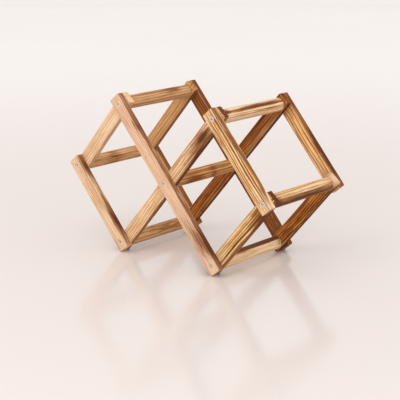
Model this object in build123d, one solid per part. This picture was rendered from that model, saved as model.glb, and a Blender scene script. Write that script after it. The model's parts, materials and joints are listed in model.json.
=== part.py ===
from build123d import *
from math import cos, radians, sin
import os

# Folding wooden wine rack: two scissor frames of flat slats, front and back, held apart by
# seven round dowels. A wood screw at each crossing runs through both slats of a frame into the
# end of the dowel behind them, and the slats turn on it when the rack is folded.
#
# Frame: millimetres, +Z up, X along the row of bottles, the bottles lie along Y.
# The origin is on the floor under the middle of the rack.

# Driving dimensions
PIVOT_SPACING = 104.0      # between two crossings on one slat
HALF_ANGLE = 40.5          # each slat leans this many degrees from the vertical
RACK_DEPTH = 130.0         # over the outer faces of the two frames
SLAT_WIDTH = 16.0
SLAT_THICKNESS = 7.5
END_OVERHANG = 9.5         # slat end beyond its last crossing
END_CORNER = 1.5           # rounding of the corners of a slat's end
LAYER_GAP = 0.15           # between slat and slat, and between slat and dowel end
DOWEL_DIAMETER = 15.0

SCREW_LENGTH = 35.0
SHANK_DIAMETER = 3.5
HEAD_DIAMETER = 6.6
HEAD_RIM = 0.35            # straight edge of the countersunk head
SCREW_TIP = 3.5            # length of the point
HEAD_SUNK = 0.4            # head below the slat's face
RECESS_SPAN = 3.8          # cross recess, tip to tip
RECESS_ARM = 0.9
RECESS_DEPTH = 1.5
PILOT_SPARE = 1.5          # dowel hole beyond the screw's point

SCREWED_FIT = 0.01         # radial, screw in a piece that it holds fast
PIVOT_FIT = 0.08           # radial, screw in a slat that turns on it
LOOSE_FIT = 0.30           # radial, at the two end crossings that close the linkage

# Crossings, in steps of half a diamond across and up from the middle one
CROSSINGS = {
    "left": (-2, 0),
    "upper_left": (-1, 1),
    "lower_left": (-1, -1),
    "centre": (0, 0),
    "upper_right": (1, 1),
    "lower_right": (1, -1),
    "right": (2, 0),
}
# Falling slats lean left at the top and form each frame's outer layer
FALLING_SLATS = {
    "left_lower": ("left", "lower_left"),
    "long_falling": ("upper_left", "centre", "lower_right"),
    "right_upper": ("upper_right", "right"),
}
# Rising slats lean right at the top and form each frame's inner layer
RISING_SLATS = {
    "left_upper": ("left", "upper_left"),
    "long_rising": ("lower_left", "centre", "upper_right"),
    "right_lower": ("lower_right", "right"),
}
# The slat that a crossing's screws are fast in; at lower_right they are fast in the dowel alone
SCREW_HOLDER = {
    "left": "left_upper",
    "upper_left": "long_falling",
    "lower_left": "long_rising",
    "centre": "long_falling",
    "upper_right": "long_rising",
    "right": "right_lower",
}
LOOSE_CROSSINGS = {"left": "left_lower", "right": "right_upper"}
SIDES = {"front": -1, "back": 1}

half_span = PIVOT_SPACING * sin(radians(HALF_ANGLE))
half_rise = PIVOT_SPACING * cos(radians(HALF_ANGLE))
foot_drop = (
    (END_OVERHANG - END_CORNER) * cos(radians(HALF_ANGLE))
    + (SLAT_WIDTH / 2 - END_CORNER) * sin(radians(HALF_ANGLE))
    + END_CORNER
)
layer_pitch = SLAT_THICKNESS + LAYER_GAP
dowel_end = RACK_DEPTH / 2 - 2 * layer_pitch
shank_radius = SHANK_DIAMETER / 2
head_radius = HEAD_DIAMETER / 2
head_cone = head_radius - shank_radius      # a 90 degree countersink is as deep as it is wide


def crossing_at(name):
    """X and Z of a crossing at rest."""
    across, up = CROSSINGS[name]
    return across * half_span, foot_drop + (1 + up) * half_rise


def screw_fit(slat, crossing):
    """Radial clearance of a slat's hole round the screw."""
    if SCREW_HOLDER.get(crossing) == slat:
        return SCREWED_FIT
    if LOOSE_CROSSINGS.get(crossing) == slat:
        return LOOSE_FIT
    return PIVOT_FIT


def upright(radius, bottom, top):
    """Cylinder on the Z axis between two heights."""
    return Pos(0, 0, (bottom + top) / 2) * Cylinder(radius, top - bottom)


def countersink(clearance):
    """Head and seat shape, with the top of the head at Z = 0."""
    cone_top = -HEAD_RIM
    cone = Pos(0, 0, cone_top - head_cone / 2) * Cone(
        shank_radius + clearance, head_radius + clearance, head_cone
    )
    return cone + upright(head_radius + clearance, cone_top, 0)


def make_screw():
    """Countersunk wood screw pointing down, with a cross recess in its head."""
    shank = upright(shank_radius, SCREW_TIP - SCREW_LENGTH, -HEAD_RIM - head_cone)
    point = Pos(0, 0, SCREW_TIP / 2 - SCREW_LENGTH) * Cone(0.2, shank_radius, SCREW_TIP)
    arm = Pos(0, 0, -RECESS_DEPTH / 2) * Box(RECESS_SPAN, RECESS_ARM, RECESS_DEPTH)
    return countersink(0) + shank + point - arm - Rot(0, 0, 90) * arm


def make_slat(slat, crossings, outer):
    """Flat slat along X on the XY plane, its outward face up, drilled at each crossing."""
    run = PIVOT_SPACING * (len(crossings) - 1)
    blank = extrude(
        RectangleRounded(run + 2 * END_OVERHANG, SLAT_WIDTH, END_CORNER), SLAT_THICKNESS
    )
    for step, crossing in enumerate(crossings):
        fit = screw_fit(slat, crossing)
        hole = upright(shank_radius + fit, -1, SLAT_THICKNESS + 1)
        if outer:
            head_top = SLAT_THICKNESS - HEAD_SUNK
            hole += Pos(0, 0, head_top) * countersink(fit)
            hole += upright(head_radius + fit, head_top, SLAT_THICKNESS + 1)
        blank -= Pos(step * PIVOT_SPACING - run / 2, 0, 0) * hole
    return blank


def place_slat(blank, crossings, outer, side):
    """Stand a slat between its first and last crossing, in its layer of one frame."""
    (x0, z0), (x1, z1) = crossing_at(crossings[0]), crossing_at(crossings[-1])
    outer_face = RACK_DEPTH / 2 - (0 if outer else layer_pitch)
    seat = Plane(
        origin=((x0 + x1) / 2, side * (outer_face - SLAT_THICKNESS), (z0 + z1) / 2),
        x_dir=(x1 - x0, 0, z1 - z0),
        z_dir=(0, side, 0),
    )
    return seat * blank


def make_dowel():
    """Round dowel along Z with a blind screw hole in each end."""
    head_top = RACK_DEPTH / 2 - HEAD_SUNK
    hole_bottom = head_top - SCREW_LENGTH - PILOT_SPARE
    dowel = upright(DOWEL_DIAMETER / 2, -dowel_end, dowel_end)
    for side in SIDES.values():
        ends = sorted((side * hole_bottom, side * (dowel_end + 1)))
        dowel -= upright(shank_radius + SCREWED_FIT, *ends)
    return dowel


def along_depth(solid, crossing, side, offset):
    """Turn a solid's +Z outwards along Y at a crossing, offset from the rack's middle."""
    x, z = crossing_at(crossing)
    return Plane(origin=(x, side * offset, z), x_dir=(1, 0, 0), z_dir=(0, side, 0)) * solid


def save(solid, node):
    """Write one piece to its own STEP file."""
    solid.label = node
    export_step(solid, f"parts/{node}.step")


def main():
    os.makedirs("parts", exist_ok=True)
    for slats, outer in ((FALLING_SLATS, True), (RISING_SLATS, False)):
        for slat, crossings in slats.items():
            blank = make_slat(slat, crossings, outer)
            for side_name, side in SIDES.items():
                save(place_slat(blank, crossings, outer, side), f"slat_{side_name}_{slat}")
    dowel = make_dowel()
    screw = make_screw()
    for crossing in CROSSINGS:
        save(along_depth(dowel, crossing, 1, 0), f"dowel_{crossing}")
        for side_name, side in SIDES.items():
            seated = along_depth(screw, crossing, side, RACK_DEPTH / 2 - HEAD_SUNK)
            save(seated, f"screw_{side_name}_{crossing}")


main()
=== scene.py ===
import json
from math import cos, pi, radians, sin
from typing import NamedTuple

import bpy
import numpy as np
from bpy.props import FloatProperty, FloatVectorProperty, PointerProperty
from mathutils import Matrix, Vector


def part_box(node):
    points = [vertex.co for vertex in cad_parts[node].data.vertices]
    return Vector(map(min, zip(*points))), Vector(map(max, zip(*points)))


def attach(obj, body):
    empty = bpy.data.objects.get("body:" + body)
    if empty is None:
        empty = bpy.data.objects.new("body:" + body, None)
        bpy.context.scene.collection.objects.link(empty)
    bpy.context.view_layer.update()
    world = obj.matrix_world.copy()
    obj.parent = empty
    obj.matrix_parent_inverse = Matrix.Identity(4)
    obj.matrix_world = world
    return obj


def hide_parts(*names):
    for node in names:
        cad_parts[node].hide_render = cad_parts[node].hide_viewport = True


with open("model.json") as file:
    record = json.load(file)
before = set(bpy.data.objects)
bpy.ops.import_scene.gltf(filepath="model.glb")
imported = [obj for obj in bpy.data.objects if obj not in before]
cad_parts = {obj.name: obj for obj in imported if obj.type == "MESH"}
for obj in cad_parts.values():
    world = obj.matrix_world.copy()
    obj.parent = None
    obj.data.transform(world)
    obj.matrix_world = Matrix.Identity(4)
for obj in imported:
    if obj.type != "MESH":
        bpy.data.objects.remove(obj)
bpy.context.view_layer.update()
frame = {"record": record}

bl_info = {
    "name": "Folding Wine Rack",
    "version": (1, 0, 0),
    "blender": (4, 5, 0),
    "location": "3D View > Sidebar > Wine Rack",
    "description": "Makes the slats, dowels and screws of a folding pine wine rack",
    "category": "Object",
}

MM = 0.001
CROSSINGS = ("left", "upper_left", "lower_left", "centre", "upper_right", "lower_right", "right")
SIDES = {"front": -1, "back": 1}
SLAT_CROSSINGS = {
    "left_lower": ("left", "lower_left"),
    "long_falling": ("upper_left", "centre", "lower_right"),
    "right_upper": ("upper_right", "right"),
    "left_upper": ("left", "upper_left"),
    "long_rising": ("lower_left", "centre", "upper_right"),
    "right_lower": ("lower_right", "right"),
}
OUTER_SLATS = ("left_lower", "long_falling", "right_upper")
# Radial clearance of a slat's hole round its screw, mm: held fast, turning, and loose
SCREWED_FIT, PIVOT_FIT, LOOSE_FIT = 0.01, 0.08, 0.30
HEAD_SUNK, HEAD_RIM = 0.4, 0.35     # mm: head below the slat's face, and its straight edge
DRILL_POINT = 0.8                   # mm: cone at the bottom of a dowel's hole
PATTERN_SHIFT = 0.37                # m: how far one seed moves a piece in the grain's pattern
TOAST_HEAT, FLANK_BROWNING_AND_SHADE = 0.9, 0.8   # browning at a toast and at a flank of 1; on a flank it is partly painted shade
# The slat whose hole holds a crossing's screws, and the one whose hole is loose round them
FAST_IN = {
    "left": "left_upper",
    "upper_left": "long_falling",
    "lower_left": "long_rising",
    "centre": "long_falling",
    "upper_right": "long_rising",
    "right": "right_lower",
}
LOOSE_IN = {"left": "left_lower", "right": "right_upper"}
# Soft lights: share of the key's power, side in m, azimuth and elevation in degrees, distance in
# m, and colour
LIGHTS = {
    "Key light": (1.0, 1.5, 8, 42, 2.0, "FFFDFA"),
    "Fill light": (0.3, 1.6, 95, 24, 2.2, "FFFBF5"),
}


class Timber(NamedTuple):
    """How one piece of pine was sawn, flamed and brushed, with shade and light painted on in
    places. Lengths are in mm.

    A patch is given by its place along and across the piece, its half length, its half breadth
    and its depth. On a dowel, along runs from the back to the front, and across upwards.
    """

    early: str              # pale wood of the ring, sRGB
    late: str               # dark line that ends the ring, sRGB
    ring: float             # from ring to ring
    heart: tuple            # from the piece's middle to the heart of the log: across, through
    lines: float            # how strongly the ring lines show, 0 to 1
    warm: str = "B87A45"    # the tone of the warmer patches, sRGB
    mottle: float = 0.35    # how far the warm patches show, 0 to 1
    flank_browning_and_shade: float = 0.5      # browning of the two narrow sides, partly painted shade
    ends: float = 0.4       # browning of the end grain
    toast: float = 0.0      # heat over the whole piece, which browns it in patches
    wear_and_highlight: float = 0.45      # how pale the rubbed edges are, 0 to 1; partly wear, partly a painted highlight
    flame_and_shade: tuple = ()      # patches that the flame browned, or spared at a negative depth; some are painted shade
    scrubbed_and_lit: tuple = ()    # patches that the brush left pale; some are painted light
    drift: float = 0.0      # how far the heart moves across for each mm along
    seed: int = 0


SLAT_TIMBER = {
    "front_left_lower": Timber(
        "FCDCB8", "A05E2E", 2.3, (60, 30), 0.5, warm="CC945C", mottle=0.45, flank_browning_and_shade=0.45, ends=0.1,
        seed=1, flame_and_shade=((-45, 8, 14, 3, 0.6), (28, 7.4, 20, 1.7, 0.9), (50, -7, 8, 3, 0.3)),
        scrubbed_and_lit=((34, 0, 26, 5, 0.3),),
    ),
    "front_long_falling": Timber(
        "F6D4B4", "A45E38", 2.2, (70, 30), 0.5, warm="CC8E62", mottle=0.4, flank_browning_and_shade=0.75, ends=0.4,
        seed=2, flame_and_shade=(
            (-70, 6, 14, 3, 0.5), (66, 0, 34, 9, 0.32), (76, 3, 16, 5, 0.4), (84, 7, 18, 2, 0.5),
        ),
        scrubbed_and_lit=((-10, 0, 40, 5, 0.15), (104, 0, 9, 8, 0.4)),
    ),
    "front_right_upper": Timber(
        "FFE0A8", "5E2002", 2.9, (90, 25), 1.0, warm="CC7C34", mottle=0.5, flank_browning_and_shade=0.38, ends=0.6,
        wear_and_highlight=0.9, seed=3, drift=0.008, flame_and_shade=(
            (-38, 3, 20, 3, 0.5), (-30, -7.2, 14, 1.6, 0.7), (4, -7.6, 16, 1.2, 0.6),
            (58, 8, 14, 3, -0.5),
        ),
        scrubbed_and_lit=((64, 1, 20, 12, 0.35), (60, 8, 10, 3, 0.4), (-58, -2, 6, 8, 0.25)),
    ),
    "front_left_upper": Timber(
        "FBDAB4", "A66C38", 2.4, (-60, 40), 0.45, warm="CF965C", mottle=0.3, flank_browning_and_shade=0.4, ends=0.1,
        seed=4, scrubbed_and_lit=((30, -2, 30, 8, 0.25),),
    ),
    "front_long_rising": Timber(
        "FCDAAC", "8A4616", 2.4, (60, 35), 0.6, warm="CA8A50", mottle=0.4, flank_browning_and_shade=0.56, ends=1.0,
        seed=5, flame_and_shade=(
            (75, -0.3, 11, 2.6, 1.3), (72, -7.6, 26, 2.0, 1.3), (0, -7.8, 60, 0.9, 0.6),
            # (64, 0, 40, 9, 0.5) darkens the upper part: painted shadow
            (64, 0, 40, 9, 0.5), (40, -4, 50, 0.7, 0.4),
        ),
    ),
    "front_right_lower": Timber(
        "FFDC9C", "582200", 2.8, (-70, 30), 1.0, warm="C8823A", mottle=0.45, flank_browning_and_shade=0.75, ends=1.3,
        wear_and_highlight=0.1, seed=6, flame_and_shade=(
            (42, -7.2, 22, 2.8, 1.1), (38, 0, 24, 8, 0.55), (4, -1, 44, 0.8, 0.4),
            (10, -4.4, 40, 0.7, 0.4),
        ),
        scrubbed_and_lit=((-46, 3, 20, 6, 0.35),),
    ),
    "back_left_lower": Timber(
        "D8A673", "80502A", 3.1, (50, 40), 0.7, flank_browning_and_shade=0.9, seed=7, toast=0.05
    ),
    # Its dark tones and its long patch over the whole slat are partly wood, partly painted shade
    "back_long_falling": Timber(
        "A06434", "4E2810", 2.9, (45, 45), 0.8, mottle=0.6, warm="74401E", flank_browning_and_shade=0.9, seed=8,
        flame_and_shade=((0, 0, 90, 9, 0.35),),
    ),
    "back_right_upper": Timber(
        "FFD294", "743A06", 2.8, (50, 40), 1.0, warm="C27E3A", mottle=0.5, flank_browning_and_shade=0.9, seed=9,
        flame_and_shade=((-48, 0, 10, 9, 0.4), (18, -7.4, 28, 1.8, 0.9), (-20, 6, 24, 2, 0.3)),
        scrubbed_and_lit=((45, 3, 18, 4, 0.3),),
    ),
    "back_left_upper": Timber("DDB07A", "8A5A2A", 3.0, (60, 30), 0.6, flank_browning_and_shade=0.8, seed=10),
    # Its dark tones are partly wood, partly painted shade
    "back_long_rising": Timber(
        "C47C3A", "361002", 2.9, (55, 30), 1.0, mottle=0.55, warm="864618", flank_browning_and_shade=1.4, ends=0.7,
        seed=11, flame_and_shade=((60, -6, 50, 4.0, 0.9), (-20, -2, 60, 7, 0.35), (80, -7, 20, 3, 0.6)),
        scrubbed_and_lit=((66, 6.5, 40, 2.4, 0.16),),
    ),
    "back_right_lower": Timber(
        "D88C40", "240800", 3.0, (75, 25), 1.0, mottle=0.5, warm="7E3E12", flank_browning_and_shade=1.4, ends=0.1,
        seed=12, toast=0.1,
        flame_and_shade=((10, -6.6, 60, 2.4, 0.6), (-10, 2, 50, 1.2, 0.3), (61, 1, 8, 12, -1.5)),
        scrubbed_and_lit=((60, 1, 8, 11, 0.75),),
    ),
}
DOWEL_TIMBER = {
    "left": Timber("E2B888", "99642F", 2.6, (8, 2), 0.7, seed=21, flame_and_shade=((10, 0, 14, 20, 0.5),)),
    "upper_left": Timber(
        "DDB285", "8E5B30", 2.8, (6, 14), 0.7, seed=22, flame_and_shade=((-20, 7, 18, 6, 0.6),)
    ),
    "lower_left": Timber(
        "E2B888", "99642F", 2.7, (12, 4), 0.7, seed=23, flame_and_shade=((0, 6, 40, 5, 0.5),)
    ),
    "centre": Timber(
        "DDA86C", "6E3A14", 3.0, (10, 9), 0.9, seed=24, toast=0.15,
        # (22, -3, 14, 6, 0.7) darkens the lower side: painted shade
        flame_and_shade=((-12, 0, 6, 12, 0.4), (22, -3, 14, 6, 0.7)),
    ),
    "upper_right": Timber(
        "FFDDB2", "7E461E", 2.6, (11, 16), 0.7, warm="C98F58", seed=25,
        # (-4, 5.0, 60, 1.6, 1.2) darkens the top: painted shade
        flame_and_shade=((-4, 5.0, 60, 1.6, 1.2), (-24, 0.5, 26, 0.7, 0.8), (46, 6, 5, 3, 0.6)),
        # (0, -4, 60, 2, 0.35) pales the underside: painted light
        scrubbed_and_lit=((20, 2.6, 40, 0.8, 0.5), (0, -4, 60, 2, 0.35)),
    ),
    "lower_right": Timber(
        "FFE4BC", "B07A48", 2.9, (14, 5), 0.35, warm="DCA86C", mottle=0.15, seed=26,
        # (-10, 7.7, 70, 1.9, 2.6) darkens the top: painted shadow
        flame_and_shade=((-10, 7.7, 70, 1.9, 2.6), (-46, 2, 4, 8, 0.3)),
        scrubbed_and_lit=((-30, 2, 16, 3, 0.4),),
    ),
    "right": Timber(
        "F6D29E", "8C5424", 3.0, (11, 10), 0.7, warm="C48C50", mottle=0.4, seed=27,
        flame_and_shade=(
            # (0, -2.8, 70, 3.6, 1.3) darkens the underside: painted shade
            (0, 4.4, 50, 0.6, 0.6), (0, 1.5, 60, 0.6, 0.7), (0, -2.8, 70, 3.6, 1.3),
            (46, 0, 5, 8, 0.5),
        ),
        scrubbed_and_lit=((-10, 5.9, 44, 0.7, 0.5), (0, 3.0, 44, 0.8, 0.4)),
    ),
}


def linear_rgb(hex_colour):
    """Linear red, green and blue of an sRGB hex colour."""
    srgb = np.array([int(hex_colour[i:i + 2], 16) / 255 for i in (0, 2, 4)])
    return tuple(np.where(srgb <= 0.04045, srgb / 12.92, ((srgb + 0.055) / 1.055) ** 2.4))


def linear_rgba(hex_colour):
    """The same, opaque."""
    return (*linear_rgb(hex_colour), 1.0)


def box_size(node):
    """Breadth, depth and height of a CAD node."""
    low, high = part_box(node)
    return high - low


def crossing_at(name):
    """Where the axis of a crossing meets the rack's middle plane."""
    low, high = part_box(f"dowel_{name}")
    return np.array((low + high) / 2)


def body_of(node):
    """The CAD body that a node belongs to."""
    bodies = frame["record"]["behaviour"]["bodies"]
    return next(body for body, members in bodies.items() if node in members)


# ---------------------------------------------------------------- settings


class WineRackSlats(bpy.types.PropertyGroup):
    """Sizes of the flat slats."""

    width: FloatProperty(
        name="Width", description="Breadth of a slat", default=0.016, unit="LENGTH"
    )
    thickness: FloatProperty(
        name="Thickness", description="Thickness of a slat",
        default=box_size("slat_front_long_falling").y, unit="LENGTH",
    )
    overhang: FloatProperty(
        name="Overhang", description="Slat beyond its last crossing", default=0.0095, unit="LENGTH"
    )
    corner: FloatProperty(
        name="Corner", description="Rounding of the corners of an end",
        default=0.0015, unit="LENGTH",
    )
    arris: FloatProperty(
        name="Arris", description="Rounding of the long edges", default=0.0008, unit="LENGTH"
    )
    relief: FloatProperty(
        name="Relief", description="Depth that the brush took out of the soft wood",
        default=0.00012, unit="LENGTH",
    )


class WineRackDowels(bpy.types.PropertyGroup):
    """Sizes of the round dowels."""

    diameter: FloatProperty(
        name="Diameter", description="Diameter of a dowel",
        default=box_size("dowel_centre").x, unit="LENGTH",
    )
    ease: FloatProperty(
        name="Ease", description="Rounding of a dowel's ends", default=0.0006, unit="LENGTH"
    )
    hole_depth: FloatProperty(
        name="Hole depth", description="Depth of the screw hole in each end",
        default=0.0216, unit="LENGTH",
    )
    relief: FloatProperty(
        name="Relief", description="Depth that the brush took out of the soft wood",
        default=0.0001, unit="LENGTH",
    )


class WineRackScrews(bpy.types.PropertyGroup):
    """Sizes and finish of the wood screws."""

    length: FloatProperty(
        name="Length", description="Length of a screw over all",
        default=box_size("screw_front_centre").y, unit="LENGTH",
    )
    head: FloatProperty(
        name="Head", description="Diameter of the countersunk head",
        default=box_size("screw_front_centre").x, unit="LENGTH",
    )
    shank: FloatProperty(
        name="Shank", description="Diameter of the shank and over the thread",
        default=0.0035, unit="LENGTH",
    )
    root: FloatProperty(
        name="Root", description="Diameter at the root of the thread", default=0.0024, unit="LENGTH"
    )
    pitch: FloatProperty(
        name="Pitch", description="From thread to thread", default=0.0016, unit="LENGTH"
    )
    zinc: FloatVectorProperty(
        name="Zinc", description="Colour of the plating", subtype="COLOR",
        default=linear_rgb("F2E4D6"), min=0, max=1,
    )


class WineRackStage(bpy.types.PropertyGroup):
    """Floor, light and camera."""

    floor: FloatVectorProperty(
        name="Floor", description="Colour of the floor round the rack", subtype="COLOR",
        default=linear_rgb("E3DBD8"), min=0, max=1,
    )
    # Colour far from the rack, lighter than near it: painted light
    floor_far_painted_light: FloatVectorProperty(
        name="Floor edge", description="Colour of the floor far from the rack", subtype="COLOR",
        default=linear_rgb("FCF9F8"), min=0, max=1,
    )
    sky: FloatProperty(
        name="Sky", description="Strength of the even light from all round", default=0.95, min=0
    )
    key: FloatProperty(
        name="Key light", description="Power of the large soft light", default=12.0, unit="POWER"
    )
    azimuth: FloatProperty(
        name="Azimuth", description="Camera's way round from the front",
        default=radians(40.88), subtype="ANGLE",
    )
    elevation: FloatProperty(
        name="Elevation", description="Camera's height angle",
        default=radians(14.85), subtype="ANGLE",
    )
    distance: FloatProperty(
        name="Distance", description="Camera from the middle screw", default=1.256, unit="LENGTH"
    )
    aside: FloatProperty(
        name="Aside", description="Camera's place to the right of that line",
        default=0.0396, unit="LENGTH",
    )
    below: FloatProperty(
        name="Below", description="Camera's place under that line", default=0.0177, unit="LENGTH"
    )
    lens: FloatProperty(
        name="Lens", description="Focal length on a 36 mm sensor", default=104.6, unit="CAMERA"
    )


# ---------------------------------------------------------------- surfaces


def grid_quads(ids):
    """Quads of a grid of point numbers.

    They face the side from which the turn from the first axis to the second is anticlockwise.
    """
    return np.stack([ids[:-1, :-1], ids[1:, :-1], ids[1:, 1:], ids[:-1, 1:]], -1).reshape(-1, 4)


def smooth_step(value, low, high):
    """0 below low, 1 above high, and a smooth rise between them."""
    t = np.clip((value - low) / (high - low), 0, 1)
    return t * t * (3 - 2 * t)


def to_circle(s, t):
    """Square quadrant to round quadrant: each point keeps its direction, and its distance
    becomes the larger of its two coordinates."""
    return np.maximum(s, t) / np.maximum(np.hypot(s, t), 1e-12)


def stations(low, high, fine, step):
    """Stations from low to high that hold every value of fine and are at most step apart."""
    fixed = np.unique(np.round(np.append(fine, (low, high)), 5))
    fixed = fixed[(fixed >= low) & (fixed <= high)]
    runs = [
        np.linspace(a, b, max(int(np.ceil((b - a) / step - 1e-6)), 1), endpoint=False)
        for a, b in zip(fixed[:-1], fixed[1:])
    ]
    return np.append(np.concatenate(runs), high)


def growth_rings(timber, along, across, through):
    """Rings counted outwards from the heart of the log, at points given in mm.

    The distance from the heart's line, which drifts across and wanders in two slow waves along
    the piece, over the ring spacing, with two waves that make some years wide and some narrow.
    """
    phase = timber.seed * 2.4
    wander = 0.9 * np.sin(along / 31 + phase) + 0.45 * np.sin(along / 11.3 + 1.7 * phase)
    away = np.hypot(
        across - timber.heart[0] - timber.drift * along + wander,
        through - timber.heart[1] + 0.4 * np.sin(along / 23 + 0.6 * phase),
    )
    count = away / timber.ring
    return count + 0.24 * np.sin(1.3 * count + phase) + 0.09 * np.sin(4.1 * count + 2 * phase)


def soft_wood(growth):
    """1 in the pale wood of a ring and 0 on its dark line, which ends it sharply."""
    part = growth % 1
    return 1 - smooth_step(part, 0.35, 0.8) * (1 - smooth_step(part, 0.85, 1.0))


def patched(patches, along, across):
    """Sum of the patches, each a bell that falls off along and across."""
    total = np.zeros_like(along)
    for at, side, half_length, half_breadth, depth in patches:
        away = ((along - at) / half_length) ** 2 + ((across - side) / half_breadth) ** 2
        total += depth * np.exp(-away)
    return total


def make_piece(name, points, quads, triangles, attributes, material):
    """Put points in metres, faces and point attributes into a new object at the origin."""
    used, faces = np.unique(np.concatenate([quads.ravel(), triangles.ravel()]), return_inverse=True)
    quads, triangles = (
        faces[: quads.size].reshape(-1, 4), faces[quads.size:].reshape(-1, 3)
    )
    mesh = bpy.data.meshes.new(name)
    mesh.from_pydata(points[used], [], quads.tolist() + triangles.tolist())
    mesh.validate()
    for title, values in attributes.items():
        vector = values.ndim == 2
        layer = mesh.attributes.new(title, "FLOAT_VECTOR" if vector else "FLOAT", "POINT")
        layer.data.foreach_set(
            "vector" if vector else "value", values[used].astype(np.float32).ravel()
        )
    mesh.materials.append(material)
    mesh.shade_smooth()
    mesh.set_sharp_from_angle(angle=radians(38))
    piece = bpy.data.objects.new(name, mesh)
    bpy.context.scene.collection.objects.link(piece)
    return piece


def finish_piece(piece, node):
    """Let a piece stand for a CAD node and ride on its body."""
    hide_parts(node)
    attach(piece, body_of(node))


def slat_surface(length, width, thickness, holes, shank, head, settings, timber):
    """Points, quads and attributes of one slat in mm: along, across, and through from the inner
    face up to the outer one. holes gives each hole's place along, whether it is countersunk, and
    its clearance; shank and head are the screw's radii.

    The shell is a box of grid points. Round each screw the square rings of the grid become
    round ones, and a countersunk hole's profile carried round gives their depth. The corners of
    the plan and then the long edges are rounded by the same square-to-circle rule, first in plan
    and then between the plan's inward distance and the depth. Last, the surface sinks by the
    relief where the ring function says soft wood.
    """
    corner, arris, relief = (
        getattr(settings, size) / MM for size in ("corner", "arris", "relief")
    )
    half_length, half_width = length / 2, width / 2
    lip = head + np.array([0.0, 0.08, 0.25])    # foot of the seat's wall, its top, and the face
    flare_radius, flare_depth = lip[2] - 0.09, 0.1
    bent_from, bent_to, plain_to, eased_to = head + 0.7, 6.6, 6.0, 10
    seat_low, seat_high = HEAD_SUNK + HEAD_RIM + head - shank, HEAD_SUNK + HEAD_RIM
    ring_steps = np.concatenate([
        np.linspace(0, shank, 5), np.linspace(shank, head, 5), lip,
        (bent_from, head + 1.4, head + 2.2, bent_to),
    ])
    ring_steps = np.unique(np.append(ring_steps, -ring_steps))
    end_steps = corner * np.array([0, 0.12, 0.26, 0.42, 0.6, 0.8, 1])
    across_fine = np.concatenate([ring_steps, half_width - end_steps, end_steps - half_width])
    along_fine = np.concatenate([
        *(hole["at"] + ring_steps for hole in holes),
        half_length - end_steps, end_steps - half_length,
    ])
    face_steps = arris * np.array([0, 0.2, 0.42, 0.68, 1])
    xs = stations(-half_length, half_length, along_fine, 1.5)
    ys = stations(-half_width, half_width, across_fine, 0.36)
    zs = stations(0, thickness, np.concatenate([face_steps, thickness - face_steps]), 0.6)

    shape = (len(xs), len(ys), len(zs))
    shell = np.zeros(shape, bool)
    shell[[0, -1]] = shell[:, [0, -1]] = shell[:, :, [0, -1]] = True
    ids = np.full(shape, -1)
    ids[shell] = np.arange(shell.sum())
    i, j, k = np.nonzero(shell)
    x, y, z = xs[i], ys[j], zs[k]
    top, bottom = k == shape[2] - 1, k == 0
    upward = np.where(z > thickness / 2, 1.0, -1.0)

    # Screw holes. Rings are round up to bent_from and square again at bent_to. The relief starts
    # at the lip and is full at plain_to. The walls join the first square ring of the two faces
    near = np.zeros_like(x)
    cut_out = np.zeros((shape[0] - 1, shape[1] - 1), bool)
    mid_x, mid_y = (xs[1:] + xs[:-1]) / 2, (ys[1:] + ys[:-1]) / 2
    walls = []
    for hole in holes:
        dx, fit = x - hole["at"], hole["fit"]
        ring = np.maximum(abs(dx), abs(y))
        distance = np.maximum(np.hypot(dx, y), 1e-9)
        round_part = 1 - smooth_step(ring, bent_from, bent_to)
        plain_part = 1 - smooth_step(ring, lip[2], plain_to)
        open_part = fit * plain_part
        if hole["seat"]:
            radius = np.interp(
                ring, (shank, *lip, eased_to), (shank, head, head, flare_radius, eased_to)
            )
            depth = np.interp(ring, (shank, *lip), (seat_low, seat_high, flare_depth, 0))
        else:
            radius, depth = ring, np.zeros_like(ring)
        scale = (1 - round_part) + round_part * (radius + open_part) / distance
        on_face = (top | bottom) & (ring < bent_to)
        flat_radius = (1 - round_part) + round_part * (ring + open_part) / distance
        scale = np.where(on_face, np.where(top, scale, flat_radius), 1)
        x, y = hole["at"] + dx * scale, y * scale
        z = np.where(top & on_face, z - depth, z)
        near = np.maximum(near, on_face * plain_part)
        inside = np.maximum(abs(mid_x - hole["at"])[:, None], abs(mid_y)[None]) < shank
        cut_out |= inside
        i0, i1 = np.flatnonzero(inside.any(1))[[0, -1]] + (0, 1)
        j0, j1 = np.flatnonzero(inside.any(0))[[0, -1]] + (0, 1)
        loop = np.concatenate([
            np.stack([np.arange(i0, i1), np.full(i1 - i0, j0)], 1),
            np.stack([np.full(j1 - j0, i1), np.arange(j0, j1)], 1),
            np.stack([np.arange(i1, i0, -1), np.full(i1 - i0, j1)], 1),
            np.stack([np.full(j1 - j0, i0), np.arange(j1, j0, -1)], 1),
        ])
        loop = np.append(loop, loop[:1], 0)
        upper, lower = ids[loop[:, 0], loop[:, 1], -1], ids[loop[:, 0], loop[:, 1], 0]
        walls.append(np.stack([upper[:-1], upper[1:], lower[1:], lower[:-1]], 1))

    # Corners of the plan: s and t are 0 inside and rise to 1 on the outline
    flat_x, flat_y = xs[i], ys[j]
    s = np.clip((abs(flat_x) - half_length + corner) / corner, 0, None)
    t = np.clip((abs(flat_y) - half_width + corner) / corner, 0, None)
    inset = corner * (1 - np.maximum(s, t))
    turn = np.where((s > 0) & (t > 0), to_circle(s, t), 1)
    x = x + np.sign(flat_x) * corner * s * (turn - 1)
    y = y + np.sign(flat_y) * corner * t * (turn - 1)
    outward = np.stack([np.sign(flat_x) * s, np.sign(flat_y) * t], 1)
    outward /= np.maximum(np.linalg.norm(outward, axis=1, keepdims=True), 1e-9)

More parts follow.
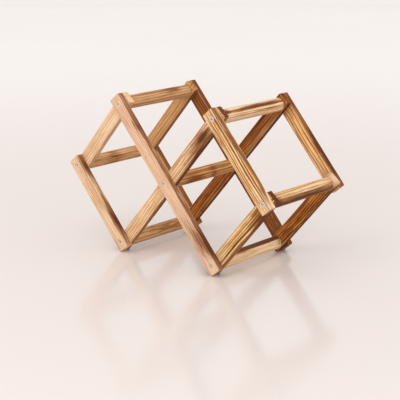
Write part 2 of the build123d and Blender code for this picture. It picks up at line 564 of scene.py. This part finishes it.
    # Edges: s rises to 1 on the outline, and t on the faces
    sunk = np.where(upward > 0, thickness - zs[k], zs[k])
    s = np.clip(1 - inset / arris, 0, 1)
    t = np.clip(1 - sunk / arris, 0, 1)
    turn = np.where((s > 0) & (t > 0), to_circle(s, t), 1)
    x = x + outward[:, 0] * arris * s * (turn - 1)
    y = y + outward[:, 1] * arris * s * (turn - 1)
    z = z + upward * arris * t * (turn - 1)
    normal = np.column_stack([outward * s[:, None], upward * t])
    normal /= np.maximum(np.linalg.norm(normal, axis=1, keepdims=True), 1e-9)

    through = z - thickness / 2
    growth = growth_rings(timber, x, y, through)
    dip = relief * soft_wood(growth) * (1 - near)
    attributes = {
        "board": np.column_stack([x, y, through]) * MM + timber.seed * PATTERN_SHIFT,
        "growth": growth,
        # The narrow sides darken with their browning, which is partly painted shade
        "browned_and_shaded": patched(timber.flame_and_shade, x, y) + timber.toast * TOAST_HEAT
        + timber.flank_browning_and_shade * FLANK_BROWNING_AND_SHADE * normal[:, 1] ** 2 + timber.ends * normal[:, 0] ** 2,
        "scrubbed_and_lit": patched(timber.scrubbed_and_lit, x, y),
        "arris": 2 * s * t * turn ** 2,
    }
    points = np.column_stack([x, y, z]) - normal * dip[:, None]

    quads = np.concatenate([
        grid_quads(ids[:, :, -1])[~cut_out.ravel()],
        grid_quads(ids[:, :, 0].T)[~cut_out.T.ravel()],
        grid_quads(ids[-1]), grid_quads(ids[0].T),
        grid_quads(ids[:, 0]), grid_quads(ids[:, -1].T),
        *walls,
    ])
    return points, quads, attributes


def turned_surface(radius, depth, angles):
    """Points of a profile carried round an axis, and its quads facing away from the axis.

    radius and depth are (stations, angles) or (stations, 1): a point is radius times the cosine
    and sine of its angle, and its depth down the axis.
    """
    count = len(angles)
    radius, depth = np.broadcast_arrays(radius, depth, np.zeros((1, count)))[:2]
    points = np.stack([radius * np.cos(angles), radius * np.sin(angles), -depth], -1)
    ids = np.arange(radius.size).reshape(-1, count)
    ids = np.append(ids, ids[:, :1], 1)
    return points.reshape(-1, 3), grid_quads(ids)


def dowel_surface(radius, half_length, hole_radius, hole_depth, settings, timber):
    """Points, faces and attributes of one dowel in mm, its axis along the third coordinate.

    The profile goes from the bottom of one screw hole, out over the end, along the dowel and
    into the hole of the other end, and is carried round the axis. The soft wood is brushed in.
    """
    ease, relief = settings.ease / MM, settings.relief / MM
    flat, straight = radius - ease, half_length - ease      # end face and side up to the rounding
    bend = np.linspace(0, pi / 2, 5)[1:]
    hole_end = half_length - hole_depth
    mouth_wide, mouth_deep, mouth_edge = 0.25, 0.3, 0.9     # the splayed mouth of the hole
    hole = [
        (0, hole_end - DRILL_POINT), (hole_radius, hole_end),
        (hole_radius, hole_end + hole_depth / 2),
        (hole_radius, half_length - mouth_deep), (hole_radius + mouth_wide, half_length),
    ]
    face = np.linspace(hole_radius + mouth_edge, flat, 5)
    end = np.concatenate([
        hole,
        np.column_stack([face, np.full(len(face), half_length)]),
        np.column_stack([flat + ease * np.sin(bend), straight + ease * np.cos(bend)]),
    ])
    run = np.linspace(straight, -straight, 70)[1:-1]
    side = np.column_stack([np.full(len(run), radius), run])
    other = end[::-1] * (1, -1)
    profile = np.concatenate([end, side, other])
    angles = np.linspace(0, 2 * pi, 84, endpoint=False)
    points, quads = turned_surface(profile[1:-1, :1], -profile[1:-1, 1:], angles)
    count, total = len(angles), len(points)
    points = np.append(points, [[0, 0, profile[0, 1]], [0, 0, profile[-1, 1]]], 0)
    first, last = np.arange(count), np.arange(total - count, total)
    triangles = np.concatenate([
        np.column_stack([np.full(count, total), first, np.roll(first, -1)]),
        np.column_stack([np.full(count, total + 1), np.roll(last, -1), last]),
    ])
    x, y, along = points.T
    growth = growth_rings(timber, along, x, y)
    distance = np.hypot(x, y)
    outside = smooth_step(distance, radius - 0.7, radius)    # the end faces were only sawn
    dip = relief * soft_wood(growth) * outside
    scale = 1 - dip / np.maximum(distance, 1e-9)
    attributes = {
        "board": np.column_stack([along, x, y]) * MM + timber.seed * PATTERN_SHIFT,
        "growth": growth,
        "browned_and_shaded": patched(timber.flame_and_shade, along, y) + timber.toast * TOAST_HEAT
        + timber.ends * (distance < radius - ease * 0.6),
        "scrubbed_and_lit": patched(timber.scrubbed_and_lit, along, y),
        "arris": np.zeros_like(x),
    }
    points = points * np.column_stack([scale, scale, np.ones_like(scale)])
    return points, quads, triangles, attributes


def screw_surface(settings):
    """Points, faces and attributes of a countersunk screw in mm, its head's top at height 0.

    The top is a square grid whose outer rings become round. Its depth is that of two crossed
    slots that get shallower outwards. From its rim a profile is carried round: the rim's edge,
    the 90 degree cone, the plain shank, and a thread that narrows to the point. The thread's
    radius follows the turn angle plus the depth over the pitch.
    """
    head, shank, root = settings.head / MM / 2, settings.shank / MM / 2, settings.root / MM / 2
    length, pitch = settings.length / MM, settings.pitch / MM
    slot, span, slot_depth = 0.45, 1.9, 1.5     # half breadth, half length, and depth in the middle
    slot_rise = 0.55                            # share of that depth lost at the slot's end
    wall, rim_drop = 0.1, 0.12                  # slope of the slot's end, and drop at the rim
    round_from, round_to = span + wall, 2.8
    plain_share, crest = 0.36, 1.6              # length without thread, and the ridge's sharpness
    tip, tip_radius = 3.5, 0.12                 # length and end of the point
    half = np.array([
        0, 0.25, slot, slot + wall / 2, 0.9, 1.35, 1.7, span, round_from, 2.4, round_to,
        head - 0.15, head,
    ])
    line = np.concatenate([-half[:0:-1], half])
    count = len(line)
    gx, gy = (a.ravel() for a in np.meshgrid(line, line, indexing="ij"))
    ring, distance = np.maximum(abs(gx), abs(gy)), np.maximum(np.hypot(gx, gy), 1e-9)
    round_part = smooth_step(ring, round_from, round_to)
    scale = (1 - round_part) + round_part * ring / distance
    crossed = (np.minimum(abs(gx), abs(gy)) < slot + wall / 4) & (ring < span + wall / 4)
    depth = np.where(crossed, slot_depth * (1 - slot_rise * ring / span), 0)
    depth = depth + np.where(ring > head - wall / 4, rim_drop, 0)
    top = np.column_stack([gx * scale, gy * scale, -depth])
    ids = np.arange(count * count).reshape(count, count)
    loop = np.concatenate([ids[:-1, 0], ids[-1, :-1], ids[:0:-1, -1], ids[0, :0:-1]])
    angles = np.arctan2(top[loop, 1], top[loop, 0])

    cone = HEAD_RIM + head - shank
    thread_from, thread_to = length * plain_share, length - tip
    turns = np.arange(thread_from, thread_to, pitch / 6)[:, None]
    taper = np.linspace(0, 1, 14)[:-1, None]
    threaded = np.concatenate([turns, thread_to + taper * tip])
    wave = abs(((angles / (2 * pi) + threaded / pitch) % 1) - 0.5) * 2
    swell = np.clip((threaded - thread_from) / pitch, 0, 1)
    ridge = (shank - root) * np.clip(1 - crest * wave, 0, 1) * swell
    narrowing = np.concatenate([np.zeros_like(turns), taper])
    thread = (root + ridge) * (1 - narrowing) + tip_radius * narrowing
    upper = np.array([head, shank, shank, root])[:, None] * np.ones((1, len(angles)))
    upper_down = np.array([HEAD_RIM, cone, thread_from - 0.6, thread_from - 0.05])[:, None]
    body, _ = turned_surface(
        np.concatenate([upper, thread]), np.concatenate([upper_down, threaded]), angles
    )
    base, n = len(top), len(angles)
    rows = np.concatenate([loop[None], base + np.arange(len(body)).reshape(-1, n)])
    rows = np.append(rows, rows[:, :1], 1)
    points = np.concatenate([top, body, [[0, 0, -length]]])
    quads = np.concatenate([grid_quads(ids), grid_quads(rows)])
    final = base + len(body) - n + np.arange(n)
    triangles = np.column_stack([final, np.full(n, len(points) - 1), np.roll(final, -1)])
    recess = np.zeros(len(points))
    recess[:base] = crossed
    return points, quads, triangles, {"recess": recess}


def towards(azimuth, elevation):
    """Direction from the rack at an azimuth round from the front and an elevation."""
    return Vector((sin(azimuth) * cos(elevation), -cos(azimuth) * cos(elevation), sin(elevation)))


def placed(points, centre, along, out):
    """Points in mm on a piece's own axes, moved to its place in metres."""
    across = np.cross(out, along)
    return centre + (points @ np.array([along, across, out])) * MM


# ---------------------------------------------------------------- materials


def add_node(tree, kind, inputs, output=None, **settings):
    """Add a node and give one of its outputs, the first live one where none is named.

    An input is named or numbered, and gets a value or a link from another node's output.
    """
    node = tree.nodes.new(kind)
    for name, value in settings.items():
        setattr(node, name, value)
    live = {socket.name: socket for socket in reversed(node.inputs) if socket.enabled}
    for key, value in inputs.items():
        socket = node.inputs[key] if isinstance(key, int) else live[key]
        if isinstance(value, bpy.types.NodeSocket):
            tree.links.new(value, socket)
        else:
            socket.default_value = value
    if output:
        return node.outputs[output]
    return next((socket for socket in node.outputs if socket.enabled), None)


def new_material(name):
    """A material with an empty node tree."""
    material = bpy.data.materials.new(name)
    material.use_nodes = True
    material.node_tree.nodes.clear()
    return material, material.node_tree


def pine_material(name, timber):
    """Carbonised pine: sawn, flamed, brushed along the grain and left without lacquer.

    The eye gets pale bands that darken slowly to a thin brown line and start again sharply, no
    two years alike, fine fibres along the piece, warm cloudy patches, and soot brown where the
    flame caught edges and ends. Some brown patches and part of the narrow sides' brown are
    painted shade, a few pale patches are painted light, and the pale arrises are partly a
    painted highlight. It is matt, a little less so on the hard dark lines.
    """
    material, tree = new_material(name)
    board = add_node(tree, "ShaderNodeAttribute", {}, "Vector", attribute_name="board")
    growth, browned_and_shaded, scrubbed_and_lit, arris = (
        add_node(tree, "ShaderNodeAttribute", {}, "Fac", attribute_name=title)
        for title in ("growth", "browned_and_shaded", "scrubbed_and_lit", "arris")
    )

    # Streaks and clouds so many mm long and wide. Real fibres are 0.05 mm wide, too fine to show
    grain = []
    for along, across, detail in ((24, 1.5, 2.0), (38, 9, 3.0), (16, 2.6, 4.0), (6, 0.9, 2.0)):
        scale = (1 / (along * MM), 1 / (across * MM), 1 / (across * MM))
        place = add_node(tree, "ShaderNodeMapping", {"Vector": board, "Scale": scale})
        grain.append(add_node(
            tree, "ShaderNodeTexNoise",
            {"Vector": place, "Scale": 1.0, "Detail": detail, "Roughness": 0.55}, "Fac",
        ))
    fibre, cloud, soot, fleck = grain

    # Each year has its place in the ring, from 0 to 1, and a depth of line of its own
    years = add_node(
        tree, "ShaderNodeMath", {0: fibre, 1: 0.22, 2: growth}, operation="MULTIPLY_ADD"
    )
    part = add_node(tree, "ShaderNodeMath", {0: years}, operation="FRACT")
    year = add_node(tree, "ShaderNodeMath", {0: years}, operation="FLOOR")
    own = add_node(tree, "ShaderNodeTexWhiteNoise", {"W": year}, "Value", noise_dimensions="1D")

    # Smooth steps: what is read, from where to where, and the result at either end
    curves = {
        "line rise": (part, 0.42, 0.72, 0, 1),
        "line fall": (part, 1.0, 0.93, 0, 1),
        "line cloud": (cloud, 0.25, 0.65, 0.65, 1),
        "line year": (own, 0, 1, 0.6, 1),
        "shoulder rise": (part, 0.05, 0.6, 0, 0.6 * timber.lines),
        "shoulder fall": (part, 1.0, 0.88, 0, 1),
        "patch": (cloud, 0.42, 0.72, 0, timber.mottle),
        "fibre": (fibre, 0.34, 0.56, 0.8 * timber.lines, 0),
        "streak": (fibre, 0.52, 0.68, 0, 0.5),
        "fleck": (fleck, 0.64, 0.76, 0, 0.6),
        "wear_and_highlight": (soot, 0.42, 0.58, 0, timber.wear_and_highlight),
    }
    share = {
        title: add_node(
            tree, "ShaderNodeMapRange",
            dict(zip(("Value", "From Min", "From Max", "To Min", "To Max"), curve)),
            interpolation_type="SMOOTHSTEP",
        )
        for title, curve in curves.items()
    }

    # Products of these
    share.update({"strength": timber.lines, "arris": arris})
    for title, *factors in (
        ("line", "line rise", "line fall"),
        ("late", "line", "line cloud", "line year", "strength"),
        ("shoulder", "shoulder rise", "shoulder fall", "line year"),
        ("arris wear and highlight", "wear_and_highlight", "arris"),
    ):
        product, *others = (share[factor] for factor in factors)
        for other in others:
            product = add_node(
                tree, "ShaderNodeMath", {0: product, 1: other}, operation="MULTIPLY"
            )
        share[title] = product

    # Soot in clouds over the piece's own browning and its painted shade, a little more of it on
    # the hard lines
    heat_and_shade = add_node(
        tree, "ShaderNodeMath", {0: soot, 1: 0.9, 2: browned_and_shaded}, operation="MULTIPLY_ADD"
    )
    heat_and_shade = add_node(
        tree, "ShaderNodeMath", {0: share["line"], 1: 0.12, 2: heat_and_shade}, operation="MULTIPLY_ADD"
    )
    toasted_and_shaded, charred_and_shaded = (
        add_node(
            tree, "ShaderNodeMapRange",
            {"Value": heat_and_shade, "From Min": low, "From Max": high, "To Max": most},
            interpolation_type="SMOOTHSTEP",
        )
        for low, high, most in ((0.57, 1.2, 0.85), (1.2, 1.65, 0.8))
    )

    # Tones laid over one another, each with its share
    colour = linear_rgba(timber.early)
    for amount, tone in (
        (share["shoulder"], timber.warm),
        (share["patch"], timber.warm),
        (share["fibre"], timber.warm),
        (share["streak"], timber.early),
        (share["late"], timber.late),
        (share["fleck"], "6B4222"),
        # Pale patches: brushed wood, and in places painted light
        (scrubbed_and_lit, "F8DCB8"),
        # Brown and soot brown carry the flame's browning and also painted shade
        (toasted_and_shaded, "80451A"),
        (charred_and_shaded, "55290F"),
        # Pale arrises: partly rubbed wear, partly painted highlight
        (share["arris wear and highlight"], "EBC79C"),
    ):
        colour = add_node(
            tree, "ShaderNodeMix", {"Factor": amount, "A": colour, "B": linear_rgba(tone)},
            data_type="RGBA",
        )

    # The brush leaves hard lines and fibres proud and flecks sunk
    height = add_node(
        tree, "ShaderNodeMath", {0: fibre, 1: 0.6, 2: share["line"]}, operation="MULTIPLY_ADD"
    )
    height = add_node(
        tree, "ShaderNodeMath", {0: fleck, 1: -0.3, 2: height}, operation="MULTIPLY_ADD"
    )
    bump = add_node(
        tree, "ShaderNodeBump", {"Strength": 0.45, "Distance": 0.15 * MM, "Height": height}
    )
    rough = add_node(
        tree, "ShaderNodeMapRange", {"Value": share["line"], "To Min": 0.7, "To Max": 0.55}
    )
    shader = add_node(tree, "ShaderNodeBsdfPrincipled", {
        "Base Color": colour, "Roughness": rough, "Normal": bump,
        "IOR": 1.5, "Specular IOR Level": 0.1,
    })
    add_node(tree, "ShaderNodeOutputMaterial", {"Surface": shader})
    return material


def zinc_material(settings):
    """Zinc-plated steel, barrel plated and passivated: a warm pale grey, bright on the flats and a
    little cloudy, and a little darker in the cross recess as painted shade."""
    material, tree = new_material("Zinc-plated steel")
    place = add_node(tree, "ShaderNodeTexCoord", {}, "Object")
    cloud = add_node(
        tree, "ShaderNodeTexNoise", {"Vector": place, "Scale": 1 / (1.2 * MM), "Detail": 3.0}, "Fac"
    )
    recess = add_node(tree, "ShaderNodeAttribute", {}, "Fac", attribute_name="recess")
    # A darker tint in the cross recess: painted shade
    recess_painted_shade = add_node(
        tree, "ShaderNodeMix",
        {"Factor": recess, "A": (*settings.zinc, 1.0), "B": linear_rgba("CDBFB0")},
        data_type="RGBA",
    )
    rough = add_node(
        tree, "ShaderNodeMapRange",
        {"Value": cloud, "From Min": 0.3, "From Max": 0.7, "To Min": 0.42, "To Max": 0.56},
    )
    shader = add_node(
        tree, "ShaderNodeBsdfPrincipled", {"Base Color": recess_painted_shade, "Roughness": rough, "Metallic": 1.0}
    )
    add_node(tree, "ShaderNodeOutputMaterial", {"Surface": shader})
    return material


def counter_material(settings):
    """Pale lacquered board: off-white with a soft gloss that is hazy in places, and painted light
    that makes it a little lighter away from the rack, from 0.2 m to 1.6 m."""
    material, tree = new_material("Lacquered counter")
    place = add_node(tree, "ShaderNodeTexCoord", {}, "Object")
    # Haze in patches about 0.7 m long
    haze = add_node(
        tree, "ShaderNodeTexNoise", {"Vector": place, "Scale": 1.5, "Detail": 2.0}, "Fac"
    )
    rough = add_node(
        tree, "ShaderNodeMapRange",
        {"Value": haze, "From Min": 0.3, "From Max": 0.7, "To Min": 0.12, "To Max": 0.16},
    )
    away = add_node(tree, "ShaderNodeVectorMath", {0: place}, "Value", operation="LENGTH")
    # Painted light: the floor lightens away from the rack
    painted_light_far = add_node(
        tree, "ShaderNodeMapRange", {"Value": away, "From Min": 0.2, "From Max": 1.6},
        interpolation_type="SMOOTHSTEP",
    )
    colour = add_node(
        tree, "ShaderNodeMix",
        {"Factor": painted_light_far, "A": (*settings.floor, 1.0), "B": (*settings.floor_far_painted_light, 1.0)},
        data_type="RGBA",
    )
    shader = add_node(tree, "ShaderNodeBsdfPrincipled", {
        "Base Color": colour, "Roughness": rough, "Specular IOR Level": 0.4,
    })
    add_node(tree, "ShaderNodeOutputMaterial", {"Surface": shader})
    return material


# ---------------------------------------------------------------- operators


class WINERACK_OT_slats(bpy.types.Operator):
    """Make the twelve drilled pine slats"""

    bl_idname = "wine_rack.slats"
    bl_label = "Slats"

    def execute(self, context):
        settings = context.scene.wine_rack_slats
        screws = context.scene.wine_rack_screws
        shank, head = screws.shank / MM / 2, screws.head / MM / 2
        for side_name, side in SIDES.items():
            for slat, crossings in SLAT_CROSSINGS.items():
                self.make_slat(settings, shank, head, side_name, side, slat, crossings)
        return {"FINISHED"}

    def make_slat(self, settings, shank, head, side_name, side, slat, crossings):
        """One slat between its first and last crossing, its outer face outwards."""
        node = f"slat_{side_name}_{slat}"
        timber = SLAT_TIMBER[f"{side_name}_{slat}"]
        first, last = crossing_at(crossings[0]), crossing_at(crossings[-1])
        run = np.linalg.norm(last - first)
        holes = [
            {
                "at": (step / (len(crossings) - 1) - 0.5) * run / MM,
                "seat": slat in OUTER_SLATS,
                "fit": SCREWED_FIT if FAST_IN.get(crossing) == slat
                else LOOSE_FIT if LOOSE_IN.get(crossing) == slat else PIVOT_FIT,
            }
            for step, crossing in enumerate(crossings)
        ]
        points, quads, attributes = slat_surface(
            (run + 2 * settings.overhang) / MM, settings.width / MM, settings.thickness / MM,
            holes, shank, head, settings, timber,
        )
        low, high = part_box(node)
        centre = (first + last) / 2
        centre[1] = high.y - settings.thickness if side > 0 else low.y + settings.thickness
        out = np.array([0.0, side, 0.0])
        points = placed(points, centre, (last - first) / run, out)
        material = pine_material(f"Carbonised pine {side_name} {slat.replace('_', ' ')}", timber)
        no_triangles = np.zeros((0, 3), int)
        piece = make_piece(
            f"pine_slat_{side_name}_{slat}", points, quads, no_triangles, attributes, material
        )
        finish_piece(piece, node)


class WINERACK_OT_dowels(bpy.types.Operator):
    """Make the seven turned pine dowels"""

    bl_idname = "wine_rack.dowels"
    bl_label = "Dowels"

    def execute(self, context):
        settings = context.scene.wine_rack_dowels
        shank = context.scene.wine_rack_screws.shank / MM / 2
        for name in CROSSINGS:
            node, timber = f"dowel_{name}", DOWEL_TIMBER[name]
            half_length = box_size(node).y / 2 / MM
            points, quads, triangles, attributes = dowel_surface(
                settings.diameter / MM / 2, half_length, shank + SCREWED_FIT,
                settings.hole_depth / MM, settings, timber,
            )
            along, out = np.array([1.0, 0, 0]), np.array([0, -1.0, 0])
            points = placed(points, crossing_at(name), along, out)
            material = pine_material(f"Carbonised pine dowel {name.replace('_', ' ')}", timber)
            piece = make_piece(f"pine_dowel_{name}", points, quads, triangles, attributes, material)
            finish_piece(piece, node)
        return {"FINISHED"}


class WINERACK_OT_screws(bpy.types.Operator):
    """Make the fourteen countersunk screws"""

    bl_idname = "wine_rack.screws"
    bl_label = "Screws"

    def execute(self, context):
        settings = context.scene.wine_rack_screws
        material = zinc_material(settings)
        points, quads, triangles, attributes = screw_surface(settings)
        turns = np.random.default_rng(4).uniform(0, 90, (len(CROSSINGS), len(SIDES)))
        for name, name_turns in zip(CROSSINGS, turns):
            for (side_name, side), turn in zip(SIDES.items(), np.radians(name_turns)):
                node = f"screw_{side_name}_{name}"
                low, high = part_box(node)
                centre = crossing_at(name)
                centre[1] = high.y if side > 0 else low.y
                along = np.array([cos(turn), 0, sin(turn)])
                place = placed(points, centre, along, np.array([0.0, side, 0.0]))
                piece = make_piece(
                    f"zinc_screw_{side_name}_{name}", place, quads, triangles, attributes, material
                )
                finish_piece(piece, node)
        return {"FINISHED"}


class WINERACK_OT_stage(bpy.types.Operator):
    """Make the floor, the light and the camera"""

    bl_idname = "wine_rack.stage"
    bl_label = "Stage"

    def execute(self, context):
        settings = context.scene.wine_rack_stage
        self.make_floor(settings)
        self.make_light(context.scene, settings)
        self.make_camera(context.scene, settings)
        return {"FINISHED"}

    def make_floor(self, settings):
        """A round floor whose rim curves up: a line and a quarter circle, carried round."""
        bend = np.linspace(0, pi / 2, 13)
        radius = np.concatenate([[0.02, 1.0, 2.0], 3.0 + np.sin(bend)])[::-1, None]
        height = np.concatenate([[0, 0, 0], 1 - np.cos(bend)])[::-1, None]
        angles = np.linspace(0, 2 * pi, 96, endpoint=False)
        points, quads = turned_surface(radius, -height, angles)
        inner = np.arange(len(points) - len(angles), len(points))
        middle = np.full(len(angles), len(points))
        points = np.append(points, [[0, 0, 0]], 0)
        triangles = np.column_stack([inner, np.roll(inner, -1), middle])
        floor = make_piece(
            "floor", points, quads[:, ::-1], triangles, {}, counter_material(settings)
        )

    def make_light(self, scene, settings):
        """An even sky all round and the soft lights, aimed at the middle of the rack."""
        world = bpy.data.worlds.new("Soft room light")
        world.use_nodes = True
        background = world.node_tree.nodes["Background"]
        background.inputs["Color"].default_value = linear_rgba("FFFCFA")
        background.inputs["Strength"].default_value = settings.sky
        scene.world = world
        scene.view_settings.view_transform = "Standard"
        target = Vector(crossing_at("centre"))
        for name, (power, size, azimuth, elevation, distance, colour) in LIGHTS.items():
            data = bpy.data.lights.new(name, "AREA")
            data.energy, data.size, data.color = settings.key * power, size, linear_rgb(colour)
            away = towards(radians(azimuth), radians(elevation))
            facing = away.to_track_quat("Z", "Y").to_matrix().to_4x4()
            lamp = bpy.data.objects.new(name, data)
            lamp.matrix_world = Matrix.Translation(target + away * distance) @ facing
            scene.collection.objects.link(lamp)

    def make_camera(self, scene, settings):
        """The camera, upright, with no shift."""
        back = towards(settings.azimuth, settings.elevation)
        right = Vector((cos(settings.azimuth), sin(settings.azimuth), 0))
        up = back.cross(right)
        middle = Vector(crossing_at("centre"))
        middle.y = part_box("slat_front_long_falling")[0].y       # the middle screw's front face
        place = middle + back * settings.distance + right * settings.aside - up * settings.below
        data = bpy.data.cameras.new("Camera")
        data.sensor_width, data.lens = 36.0, settings.lens
        data.clip_end = 20
        camera = bpy.data.objects.new("Camera", data)
        rotation = Matrix((right, up, back)).transposed().to_4x4()
        camera.matrix_world = Matrix.Translation(place) @ rotation
        scene.collection.objects.link(camera)
        scene.camera = camera


OPERATORS = (WINERACK_OT_slats, WINERACK_OT_dowels, WINERACK_OT_screws, WINERACK_OT_stage)
SETTINGS = {
    "wine_rack_slats": WineRackSlats,
    "wine_rack_dowels": WineRackDowels,
    "wine_rack_screws": WineRackScrews,
    "wine_rack_stage": WineRackStage,
}


class WINERACK_PT_sidebar(bpy.types.Panel):
    """Lists the rack's sizes and the steps that make it"""

    bl_label = "Wine Rack"
    bl_idname = "WINERACK_PT_sidebar"
    bl_space_type = "VIEW_3D"
    bl_region_type = "UI"
    bl_category = "Wine Rack"

    def draw(self, context):
        for operator, group in zip(OPERATORS, SETTINGS):
            column = self.layout.column(align=True)
            settings = getattr(context.scene, group)
            for name in SETTINGS[group].__annotations__:
                column.prop(settings, name)
            column.operator(operator.bl_idname)


CLASSES = (*SETTINGS.values(), *OPERATORS, WINERACK_PT_sidebar)


def register():
    for cls in CLASSES:
        bpy.utils.register_class(cls)
    for name, group in SETTINGS.items():
        setattr(bpy.types.Scene, name, PointerProperty(type=group))


def unregister():
    for name in SETTINGS:
        delattr(bpy.types.Scene, name)
    for cls in reversed(CLASSES):
        bpy.utils.unregister_class(cls)


def main():
    register()
    for operator in OPERATORS:
        family, name = operator.bl_idname.split(".")
        getattr(getattr(bpy.ops, family), name)()


if __name__ == "__main__":
    main()
